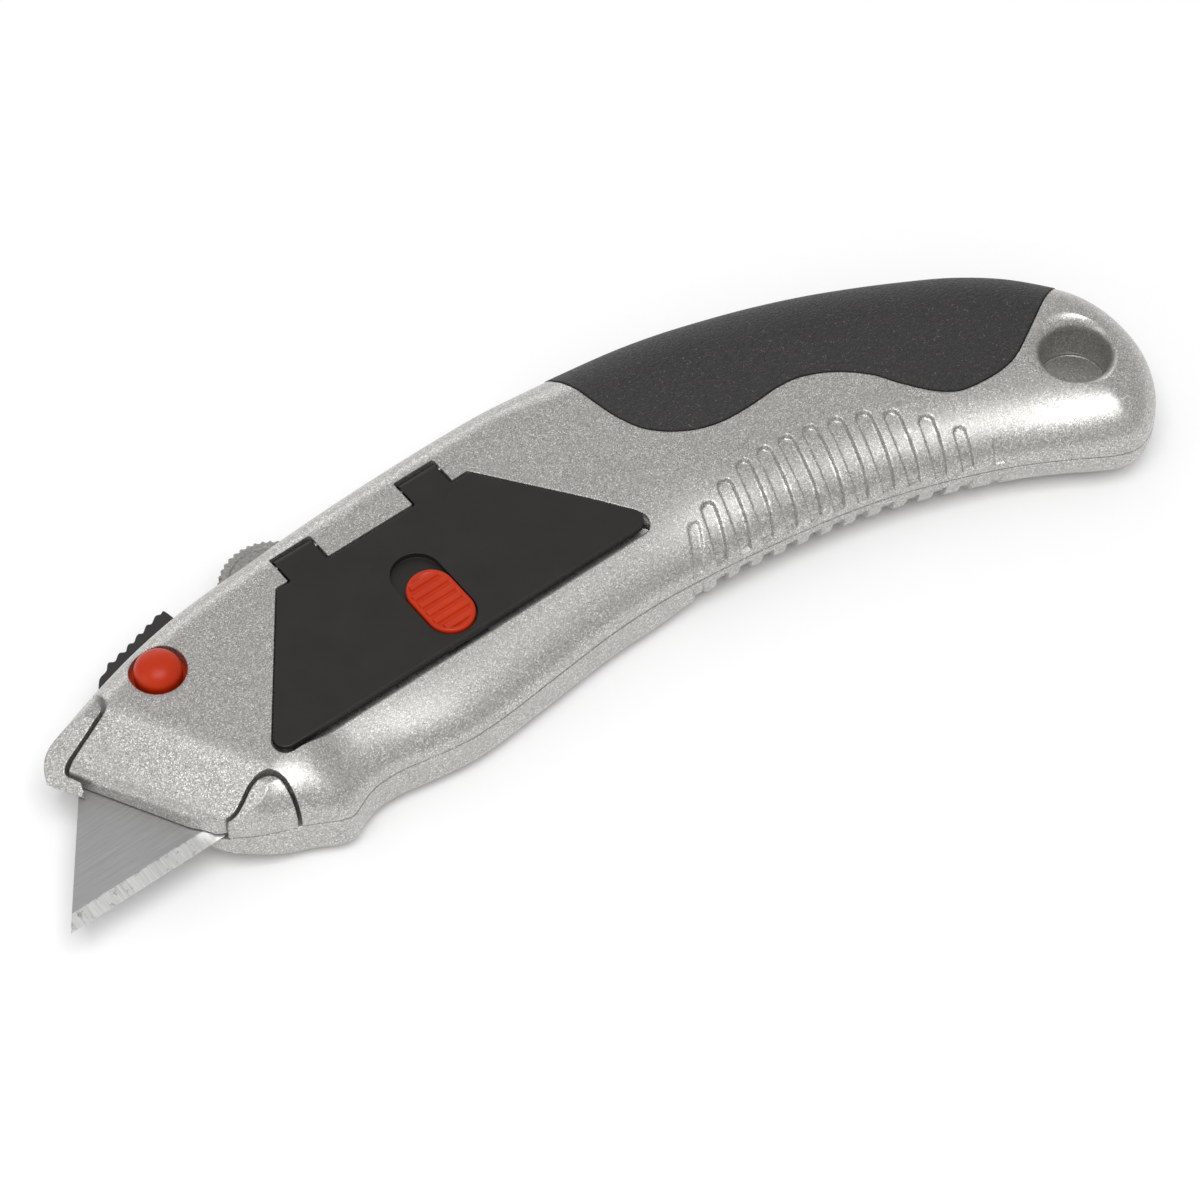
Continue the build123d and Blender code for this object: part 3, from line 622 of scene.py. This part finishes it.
def half(name, table, sign, rows=66, extra=0.0, shrink=0.0, flutes=False, groove=False, proud=0.0,
         full=False):
    """One half of the body as a closed mesh: sign +1 above the parting plane, -1 below it."""
    prof = profiles(table, rows)
    ins = prof[:, :, 0] + extra - proud
    hgt = prof[:, :, 1] * (8.0 - shrink + proud) / 8.0
    n = len(P)
    pos = np.zeros((n, rows, 3))
    pos[:, :, 0] = P[:, None, 0] + NRM[:, None, 0] * ins
    pos[:, :, 1] = P[:, None, 1] + NRM[:, None, 1] * ins
    pos[:, :, 2] = 8.0 + sign * hgt
    if flutes:
        w = np.concatenate([np.zeros((n, 1)), np.cumsum(np.linalg.norm(np.diff(pos, axis=1), axis=2), 1)], 1)
        ds = (np.roll(pos, -1, 0) - np.roll(pos, 1, 0))
        dk = np.gradient(pos, axis=1)
        nr = np.cross(ds, dk)
        nr /= np.maximum(np.linalg.norm(nr, axis=2)[:, :, None], 1e-9)
        # make them point inwards
        inwards = np.stack([NRM[:, 0], NRM[:, 1], np.zeros(n)], 1)
        flip = np.sign((nr[:, 0] * inwards).sum(1))
        nr *= flip[:, None, None]
        nr[:, :, 2] *= 1.0
        depth = np.zeros((n, rows))
        zone = (P[:, 1] < 5) & (P[:, 0] > 55) & (P[:, 0] < 125)
        for (ax, ay), (bx, by), k, hw in FLUTES:
            d2 = (pos[:, :, 0] - ax) ** 2 + (pos[:, :, 1] - ay) ** 2
            d2[~zone] = 1e9
            i, j = np.unravel_index(np.argmin(d2), d2.shape)
            s_top, w_top = S[i], w[i, j]
            d = (P[:, 0] - bx) ** 2 + (P[:, 1] - by) ** 2
            d[~zone] = 1e9
            s_foot = S[int(np.argmin(d))]
            w_foot = 1.25
            f = np.clip((w - w_foot) / max(w_top - w_foot, 0.5), 0, 1)
            mid = s_foot + (s_top - s_foot) * f
            wide = 0.95 + (hw - 0.95) * np.minimum(1, f * 2.5)
            ss = S[:, None] - mid
            # signed distance to the arch: straight sides with a round head, flat foot
            head = w - (w_top - wide)
            side = np.abs(ss) - wide
            dist = np.where(head > 0, np.hypot(ss, head) - wide, side)
            dist = np.maximum(dist, w_foot - w)
            m = ease(-dist / 0.26)
            depth = np.maximum(depth, m * k * FLUTE_DEPTH)
        depth[~zone] = 0
        pos += nr * depth[:, :, None]
    if groove:
        # V groove at the parting plane
        lead = np.zeros((n, 2, 3))
        for r, (dz, di) in enumerate(((0.015, 0.34), (0.19, 0.0))):
            lead[:, r, 0] = P[:, 0] + NRM[:, 0] * di
            lead[:, r, 1] = P[:, 1] + NRM[:, 1] * di
            lead[:, r, 2] = 8.0 + sign * dz
        pos = np.concatenate([lead, pos[:, 1:]], 1)
    rows = pos.shape[1]
    v = pos.transpose(1, 0, 2).reshape(-1, 3)
    i = np.arange(n)
    j = (i + 1) % n
    f = []
    for k in range(rows - 1):
        f += [tuple(q) for q in np.stack([k * n + i, k * n + j, (k + 1) * n + j, (k + 1) * n + i], 1)]
    f.append(tuple(range(n))[::-1])
    f.append(tuple(range((rows - 1) * n, rows * n)))
    return tidy(mesh(name, v, f))


def nose_bar(line, name="bar"):
    """Bar along the ridge of the nose; line is a closed loop of (distance in front of the ridge, z)."""
    a, b = np.array([-10.5, 21.9]), np.array([0.8, 1.4])
    along = (b - a) / np.linalg.norm(b - a)
    out = np.array([-20.5, -11.3])
    out = out / np.linalg.norm(out)
    v, m = [], len(line)
    for s in (-18.0, 42.0):
        for u, z in line:
            q = a + along * s + out * u
            v.append((q[0], q[1], z))
    f = [tuple(range(m)), tuple(range(m, 2 * m))[::-1]]
    f += [(k, m + k, m + (k + 1) % m, (k + 1) % m) for k in range(m)]
    return tidy(mesh(name, v, f))


def wedge():
    """What is missing above the sloping front: level behind the ridge, then a slope of 26 degrees."""
    line = [(-3.0, 16.004), (-2.2, 16.004)]
    r = math.radians(26.3)
    rr = 8.0
    for k in range(9):
        t = r * k / 8
        line.append((-rr * math.tan(r / 2) + rr * math.sin(t), 16.0 - rr * (1 - math.cos(t))))
    line.append((26.0, 16.0 - 26.0 * math.tan(r)))
    line += [(26.0, 30.0), (-3.0, 30.0)]
    return nose_bar(line)


def front_near():
    """In front of the lip over the blade, with the lip's upper edge rounded."""
    line = [(9.15, 7.0), (9.15, 10.4)]
    for k in range(1, 7):
        t = math.radians(63.7) * k / 6
        line.append((9.15 - 1.5 * (1 - math.cos(t)), 10.4 + 1.5 * math.sin(t)))
    line += [(6.5, 13.2), (6.5, 20.0), (26.0, 20.0), (26.0, 7.0)]
    return nose_bar(line)


def front_far():
    """The far half slopes back under the blade."""
    line = [(-3.0, -0.004), (-1.6, -0.004)]
    r = math.radians(28.0)
    rr = 6.0
    for k in range(9):
        t = r * k / 8
        line.append((-rr * math.tan(r / 2) + rr * math.sin(t), rr * (1 - math.cos(t))))
    line += [(8.2, 8.2 * math.tan(r)), (8.75, 4.95), (10.3, 8.0), (11.92, 11.0), (13.8, 14.5), (40.0, 14.5),
             (40.0, -8.0), (-3.0, -8.0)]
    return nose_bar(line)


def region(inner, outer):
    return open_curve(inner, 8) + outer


LUG_A = region([(-11.3, 27.6), (-11.2, 25.4), (-11.3, 23.9), (-11.9, 22.9), (-14.6, 21.9), (-17.3, 21.2),
                (-19.0, 20.75), (-19.9, 20.2), (-20.2, 19.4), (-19.75, 18.4), (-19.3, 17.4)],
               [(-19.6, 16.2), (-26.0, 12.5), (-30.0, 20.0), (-30.0, 32.0), (-11.3, 32.0)])
GAP_A = region([(-10.5, 27.6), (-10.4, 25.4), (-10.5, 23.5), (-11.3, 22.3), (-14.4, 21.3), (-17.2, 20.6),
                (-19.0, 20.0), (-20.1, 19.3), (-20.6, 18.4), (-20.4, 17.2), (-19.7, 15.0)],
               [(-26.0, 9.5), (-32.0, 20.0), (-32.0, 32.0), (-10.5, 32.0)])
LUG_B = region([(-8.9, -0.1), (-7.4, -0.6), (-6.0, -0.7), (-4.4, -0.2), (-2.6, 0.6), (-0.9, 0.8), (0.4, 0.3),
                (1.1, -1.0), (1.1, -3.2), (0.5, -6.5)], [(-2.0, -12.0), (-14.0, -12.0), (-14.0, -3.0)])
GAP_B = region([(-9.9, 1.6), (-7.6, 0.1), (-6.0, -0.1), (-4.5, 0.45), (-2.8, 1.2), (-0.9, 1.45), (0.8, 0.9),
                (1.75, -0.8), (1.75, -3.2), (1.1, -6.5)], [(-1.0, -14.0), (-16.0, -14.0), (-16.0, 2.5)])
GRIP_IN = [(71.6, 36.0), (71.6, 31.4), (72.1, 29.2), (72.7, 26.6), (73.3, 23.0), (74.0, 19.6),
           (75.0, 16.8), (75.9, 15.1), (77.4, 13.4), (79.2, 11.9), (82.1, 10.3), (85.8, 9.3),
           (90.6, 9.1), (95.4, 9.3), (99.6, 8.6), (104.0, 6.2), (107.6, 2.7), (109.6, -0.6),
           (111.8, -3.7), (114.0, -5.9), (116.8, -7.3), (122.0, -7.9), (125.9, -7.2),
           (130.2, -5.0), (134.1, -2.8), (137.8, -0.8), (150.0, 5.0)]
GRIP = open_curve(GRIP_IN, 8) + [(150.0, 40.0), (71.6, 40.0)]


def offset(points, d):
    """Closed polygon moved outwards by d."""
    p = np.array(points, float)
    a = np.roll(p, 1, 0)
    b = np.roll(p, -1, 0)
    t = b - a
    t /= np.maximum(np.linalg.norm(t, axis=1), 1e-9)[:, None]
    n = np.stack([t[:, 1], -t[:, 0]], 1)
    area = 0.5 * np.sum(p[:, 0] * b[:, 1] - b[:, 0] * p[:, 1])
    return [tuple(q) for q in p + n * d * (1 if area > 0 else -1)]


SCREWS = [(61.5, 27.0), (88.0, 11.5), (117.0, 3.5)]
TABS = [(20.5, 27.5), (41.9, 48.9)]
HANDLE = [(69.0, 2.0), (80.0, 1.0), (92.0, -1.5), (104.0, -5.2), (114.0, -9.6), (122.5, -14.2),
          (125.0, -13.6), (126.4, -8.0), (126.0, 5.0), (116.0, 11.6), (104.0, 17.6), (92.0, 22.0),
          (80.0, 25.2), (69.0, 26.6)]
BTN = (-2.1, 23.2)
WHL = (20.25, 28.45)
LAN = (133.8, -11.5)


def rim(x, y, z_face, sign, r, lip, n=96):
    """Cutter that rounds the mouth of a hole: r is the bore, lip the radius of the rounding."""
    rows = []
    for k in range(9):
        t = math.pi / 2 * k / 8
        rows.append((r + lip * (1 - math.cos(t)), z_face - sign * lip * (1 - math.sin(t))))
    rows = [(r - 0.05, rows[0][1])] + rows + [(r + lip, z_face + sign * 2.0)]
    prof = [(0.0, rows[0][1])] + rows + [(0.0, rows[-1][1])]
    return lathe("rim", prof, x, y, n)


def build_casing():
    near = half("near", NEAR, +1, flutes=True, groove=True)
    boolean(near, [wedge()])
    ears = copy(near, "ears")
    boolean(near, [front_near()])
    under = half("under", NEAR, +1, rows=20, extra=1.4, shrink=1.4)
    near_in = prism(offset(GRIP, 0.2), 7.0, 17.0)
    boolean(near_in, [under])
    tools = [near_in, prism(GAP_A, 7.0, 18.0), prism(GAP_B, 7.0, 18.0)]
    rec = trapezoid(1.5 / TAN - 0.05, 1.2, 70.1 - 3.0 / TAN, 24.45 - 1.2)
    tools.append(prism(rounded(rec, [1.9, 1.9, 0.4, 0.4]), 14.45, 18.0))
    for x0, x1 in TABS:
        tools.append(prism(rounded([(x0, 23.0), (x1, 23.0), (x1, 29.05), (x0, 29.05)], [0, 0, 0.35, 0.35]),
                           13.4, 18.0))
    tools.append(prism(rounded(trapezoid(4.6, 1.45, 63.4, 19.5), 0.6), 9.9, 14.46))
    tools.append(box(31.7, 38.7, 0.25, 2.0, 13.35, 14.05))
    tools.append(cyl(WHL[0], WHL[1], 8.05, 7.0, 11.95))
    tools.append(box(WHL[0] - 8.05, WHL[0] + 8.05, WHL[1], 50.0, 7.0, 11.95))
    tools.append(cyl(WHL[0], WHL[1], 1.5, 11.0, 13.2, 48))
    tools.append(cyl(BTN[0], BTN[1], 5.2, 7.0, 13.9))
    tools.append(cyl(BTN[0], BTN[1], 4.1, 13.8, 18.0))
    tools.append(box(-40.0, 57.8, -0.6, 21.7, 7.0, 8.6))
    hollow = prism(HANDLE, 7.0, 12.8)
    boolean(hollow, [cyl(sx, sy, 3.6, 6.0, 14.0, 48) for sx, sy in SCREWS])
    tools.append(hollow)
    tools += [cyl(sx, sy, 1.25, 7.0, 13.2, 48) for sx, sy in SCREWS]
    tools.append(cyl(LAN[0], LAN[1], 5.0, 7.0, 18.0))
    tools.append(rim(LAN[0], LAN[1], 16.0, +1, 5.0, 2.4))
    tools.append(cyl(LAN[0], LAN[1], 5.3, 7.0, 8.22))
    boolean(near, tools)

    grip = half("ngrip", NEAR, +1, groove=True, proud=0.1)
    under = half("under", NEAR, +1, rows=20, extra=1.4, shrink=1.4)
    boolean(grip, [prism(GRIP, 8.0, 18.0)], "INTERSECT")
    boolean(grip, [under])

    far = half("far", FAR, -1, flutes=True, groove=True)
    under = half("under", FAR, -1, rows=20, extra=1.4, shrink=1.4)
    far_in = prism(offset(GRIP, 0.2), -1.0, 9.0)
    boolean(far_in, [under])
    tools = [far_in, front_far()]
    tools.append(prism([(2.0, -1.0), (58.0, -1.0), (58.0, 22.0), (-13.2, 22.0), (-13.2, 20.4)], 1.9, 9.0))
    tools.append(box(-40.0, 2.0, -0.5, 19.8, 7.6, 9.0))
    tools.append(box(-8.8, 34.8, 21.0, 28.0, 1.9, 9.0))
    tools.append(box(-8.8, 34.8, 27.0, 55.0, 2.7, 9.0))
    hollow = prism(HANDLE, 3.2, 9.0)
    boolean(hollow, [cyl(sx, sy, 3.9, 2.0, 10.0, 48) for sx, sy in SCREWS])
    tools.append(hollow)
    for sx, sy in SCREWS:
        tools += [cyl(sx, sy, 1.6, -2.0, 10.0, 48), cyl(sx, sy, 3.0, -2.0, 2.6, 64)]
    for k in range(4):
        tools.append(cyl(10.0 + 26.5 * k / 3.0, -1.3, 1.0, 3.2, 6.6, 32))
    tools.append(cyl(LAN[0], LAN[1], 4.75, -2.0, 9.0))
    tools.append(rim(LAN[0], LAN[1], 0.0, -1, 4.75, 1.7))
    boolean(far, tools)
    fgrip = half("fgrip", FAR, -1, groove=True)
    under = half("under", FAR, -1, rows=20, extra=1.4, shrink=1.4)
    boolean(fgrip, [prism(GRIP, -1.0, 8.0)], "INTERSECT")
    boolean(fgrip, [under] + [cyl(sx, sy, 3.0, -2.0, 4.0, 64) for sx, sy in SCREWS[1:]])

    # ears of the far half that come up round the nose corners
    slot = [box(-40.0, 2.0, -0.5, 19.8, 7.0, 8.5)]
    ear_a = copy(ears, "ear_a")
    boolean(ear_a, [prism(LUG_A, 7.0, 14.9)], "INTERSECT")
    boolean(ear_a, slot + [front_far()])
    slot = [box(-40.0, 2.0, -0.5, 19.8, 7.0, 8.5)]
    ear_b = copy(ears, "ear_b")
    boolean(ear_b, [prism(LUG_B, 7.0, 14.9)], "INTERSECT")
    boolean(ear_b, slot)
    drop(ears)
    return near, grip, far, fgrip, ear_a, ear_b


near, ngrip, far, fgrip, ear_a, ear_b = build_casing()
place(near, "near_casing", "handle", M_SILVER, ("near_shell",), 30)
place(ngrip, "near_grip_pad", "handle", M_GRIP, ("near_grip",), 40)
place(far, "far_casing", "handle", M_SILVER, ("far_shell",), 30)
place(fgrip, "far_grip_pad", "handle", M_GRIP, ("far_grip",), 40)
bevel(ear_a, 0.45, 3, 50)
bevel(ear_b, 0.45, 3, 50)
place(ear_a, "casing_ear_spine", "handle", M_SILVER, (), 40)
place(ear_b, "casing_ear_belly", "handle", M_SILVER, (), 40)


# ---------------------------------------------------------------- store door
def build_door():
    x0, ln = 1.9 / TAN + 0.35, 70.0 - 3.8 / TAN - 0.7
    t = trapezoid(x0, 1.9, ln, 24.15 - 1.9)
    a, b = (TABS[0][0] + 0.35, TABS[0][1] - 0.35), (TABS[1][0] + 0.35, TABS[1][1] - 0.35)
    pts = [t[0], t[1], t[2], (b[1], 24.15), (b[1], 27.9), (b[0], 27.9), (b[0], 24.15),
           (a[1], 24.15), (a[1], 27.9), (a[0], 27.9), (a[0], 24.15), t[3]]
    rad = [1.8, 1.8, 0.5, 0.25, 0.25, 0.25, 0.35, 0.35, 0.25, 0.25, 0.25, 0.5]
    d = prism(rounded(pts, rad, 6), 14.5, 16.0)
    bevel(d, 0.34, 3, 60)
    # knuckles round the hinge pins
    for k0, k1 in (a, b):
        v, f, n = [], [], 32
        for x in (k0, k1):
            for i in range(n):
                w = 2 * math.pi * i / n
                v.append((x, 27.68 + 1.09 * math.cos(w), 14.9 + 1.09 * math.sin(w)))
        f = [tuple(range(n)), tuple(range(n, 2 * n))[::-1]]
        f += [(i, n + i, n + (i + 1) % n, (i + 1) % n) for i in range(n)]
        boolean(d, [tidy(mesh("knuckle", v, f))], "UNION")
    slot = prism(obround(35.2, 6.4, 14.3, 3.72, 32), 15.0, 18.0)
    boolean(d, [slot, box(33.3, 37.1, 5.1, 13.5, 14.0, 15.5)])
    return d


place(build_door(), "store_door", "door", M_DOOR, ("storage_door",), 35)


def build_latch():
    rows = []
    # rim of the knob: straight side, round shoulder, shallow dish inside
    for r, z in ((3.5, 15.06), (3.5, 15.95), (3.46, 16.14), (3.36, 16.29), (3.2, 16.37), (3.0, 16.38),
                 (2.82, 16.33), (2.7, 16.22)):
        rows.append([(x, y, z) for x, y in obround(35.2, 6.45, 10.95, r, 24)])
    n = len(rows[0])
    v = [p for r in rows for p in r]
    f = []
    for k in range(len(rows) - 1):
        for i in range(n):
            j = (i + 1) % n
            f.append((k * n + i, k * n + j, (k + 1) * n + j, (k + 1) * n + i))
    f.append(tuple(range(n))[::-1])
    f.append(tuple(range((len(rows) - 1) * n, len(rows) * n)))
    knob = tidy(mesh("knob", v, f))
    ribs = []
    for i in range(6):
        y = 4.6 + i * 1.64
        dy = max(0.0, abs(y - 8.7) - 2.25)
        reach = math.sqrt(max(0.3, 2.95 ** 2 - dy ** 2))
        pts, m = [], 10
        for s in (-1, 1):
            for k in range(m + 1):
                t = math.pi * k / m
                pts.append((35.2 + s * reach, y - 0.56 * math.cos(t), 16.02 + 0.58 * math.sin(t)))
        q = m + 1
        f = [tuple(range(q)), tuple(range(q, 2 * q))[::-1]]
        f += [(k, q + k, q + (k + 1) % q, (k + 1) % q) for k in range(q)]
        ribs.append(tidy(mesh("rib", pts, f)))
    boolean(knob, ribs, "UNION")
    boolean(knob, [box(33.6, 36.8, 5.4, 9.9, 14.0, 15.3)], "UNION")
    return knob


place(build_latch(), "latch_knob", "latch", M_RED, ("door_latch",), 50)


def build_button():
    prof = [(0, 7.8), (1.8, 7.8), (1.8, 13.0), (4.9, 13.0), (4.9, 13.85), (3.35, 13.85)]
    prof += [(3.35, 15.7)]
    for k in range(17):
        t = math.pi / 2 * (k + 1) / 18
        prof.append((3.35 * math.cos(t) ** 0.92, 15.7 + 2.4 * math.sin(t)))
    prof.append((0.0, 18.1))
    return lathe("btn", prof, BTN[0], BTN[1], 96)


place(build_button(), "button_cap", "button", M_RED, ("release_button",), 50)


def build_wheel():
    teeth = 42

    def wave(a, r, z):
        if r < 6.9:
            return 0.0
        t = (a * teeth / (2 * math.pi)) % 1.0
        d = 0.8 * (0.5 + 0.5 * math.cos(2 * math.pi * t)) ** 1.6
        return -d * min(1.0, (r - 6.85) / 0.5)
    prof = [(1.56, 8.5), (6.6, 8.5), (6.95, 8.56), (7.3, 8.85), (7.55, 9.2), (7.55, 10.9), (7.3, 11.25),
            (6.95, 11.54), (6.6, 11.6), (6.1, 11.6), (5.9, 11.42), (3.2, 11.42), (3.0, 11.6), (1.56, 11.6)]
    return lathe("wheel", prof, WHL[0], WHL[1], teeth * 8, wave)


place(build_wheel(), "thumb_wheel", "wheel", M_WHEEL, ("lock_wheel",), 40)

TEETH = [(-7.62, 27.6), (-7.62, 30.75), (-7.0, 31.55), (-6.4, 32.05), (-5.21, 32.42), (-4.5, 33.18),
         (-4.08, 33.4), (-3.34, 33.03), (-2.45, 33.64), (-1.96, 33.81), (-1.24, 33.47),
         (-0.52, 34.11), (-0.02, 34.26), (0.53, 34.06), (1.39, 34.70), (1.92, 34.84), (2.45, 34.60),
         (3.34, 35.27), (3.76, 35.38), (4.30, 35.17), (5.28, 35.84), (5.74, 35.90), (6.2, 35.72),
         (6.9, 35.90), (7.3, 34.2), (7.4, 27.6)]


def build_slide():
    line = [TEETH[0]] + open_curve(TEETH[1:-1], 4) + [TEETH[-1]]
    s = prism(line, 3.0, 7.9)
    bevel(s, 0.22, 2, 60)
    tools = [box(-6.6, 6.4, 27.0, 29.5, 4.42, 6.48)]
    tools += [cyl(x, 28.4, 0.6, 2.0, 9.0, 32) for x in (-4.5, 4.5)]
    boolean(s, tools)
    return s


place(build_slide(), "slide_cap", "sled", M_SLIDE, ("thumb_slider",), 40)

# ---------------------------------------------------------------- carried-over parts
FINISH = {
    "blade": M_BLADE, "spare_blades": M_SPARE, "blade_carriage": M_ZINC, "slider_rivets": M_PLATE,
    "detent_spring": M_SPRING, "blade_catch": M_PLATE, "catch_spring": M_SPRING,
    "button_retainer": M_PLATE, "button_spring": M_SPRING, "hinge_pins": M_PLATE,
    "latch_bolt": M_PLATE, "spare_blade_clip": M_SPRING, "wheel_axle": M_PLATE,
    "wheel_clip": M_SPRING, "case_screws": M_PLATE,
}
for node, material in FINISH.items():
    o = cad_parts[node]
    o.data.materials.clear()
    o.data.materials.append(material)

# the two springs under the button become meshes of their own, one on the handle and one on the sled
def spring(node, name, body):
    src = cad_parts[node]
    bpy.context.view_layer.update()
    me = src.data.copy()
    me.transform(src.matrix_world)
    o = link(me, name)
    me.name = name
    me.materials.clear()
    me.materials.append(M_SPRING)
    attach(o, body)
    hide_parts(node)
    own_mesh(o)


spring("button_spring", "button_coil", "handle")
spring("catch_spring", "catch_leaf", "sled")

# ---------------------------------------------------------------- floor, light, camera
scene = bpy.context.scene


def build_floor():
    n, r = 64, 2.4
    v = [(0, 0, -0.0002)] + [(r * math.cos(2 * math.pi * i / n), r * math.sin(2 * math.pi * i / n), -0.0002)
                            for i in range(n)]
    f = [(0, 1 + i, 1 + (i + 1) % n) for i in range(n)]
    o = mesh("floor", v, f)
    m = Mat("floor_paper")
    cloud = m.noise(14.0, 3.0).outputs["Fac"]
    m.to(m.mix(cloud, (0.955, 0.955, 0.955, 1), (0.975, 0.975, 0.975, 1)), m.b.inputs["Base Color"])
    m.set(Roughness=0.9, Specular_IOR_Level=0.1)
    o.data.materials.append(m.m)


build_floor()


def area(name, loc, target, size, power, size_y=None):
    l = bpy.data.lights.new(name, "AREA")
    l.energy = power
    l.size = size
    if size_y:
        l.shape = "RECTANGLE"
        l.size_y = size_y
    o = bpy.data.objects.new(name, l)
    scene.collection.objects.link(o)
    o.location = loc
    d = Vector(target) - Vector(loc)
    o.rotation_euler = d.to_track_quat("-Z", "Y").to_euler()
    return o


area("key_soft", (-0.17, -0.27, 0.90), (0.0, 0.0, 0.0), 0.60, 5.2, 0.5)
area("rim_soft", (0.25, 0.85, 0.30), (0.0, 0.0, 0.0), 0.9, 1.1, 0.3)
area("left_soft", (-0.95, 0.15, 0.30), (0.0, 0.0, 0.0), 0.5, 1.0, 0.4)

world = bpy.data.worlds.new("studio")
scene.world = world
world.use_nodes = True
bg = next(n for n in world.node_tree.nodes if n.type == "BACKGROUND")
bg.inputs["Color"].default_value = (1.0, 1.0, 1.0, 1.0)
bg.inputs["Strength"].default_value = 0.55

cam_data = bpy.data.cameras.new("camera")
cam = bpy.data.objects.new("camera", cam_data)
scene.collection.objects.link(cam)
az, el, dist = math.radians(-37.847), math.radians(54.782), 0.62003
target = Vector((-0.003296, -0.009367, 0.016))
back = Vector((math.sin(az) * math.cos(el), -math.cos(az) * math.cos(el), math.sin(el)))
cam.location = target + back * dist
cam.rotation_euler = (-back).to_track_quat("-Z", "Y").to_euler()
cam_data.sensor_width = 36.0
cam_data.lens = 4500.5 / 1200.0 * 36.0
cam_data.clip_start = 0.01
cam_data.clip_end = 20.0
scene.camera = cam
scene.view_settings.view_transform = "Standard"
scene.view_settings.look = "None"
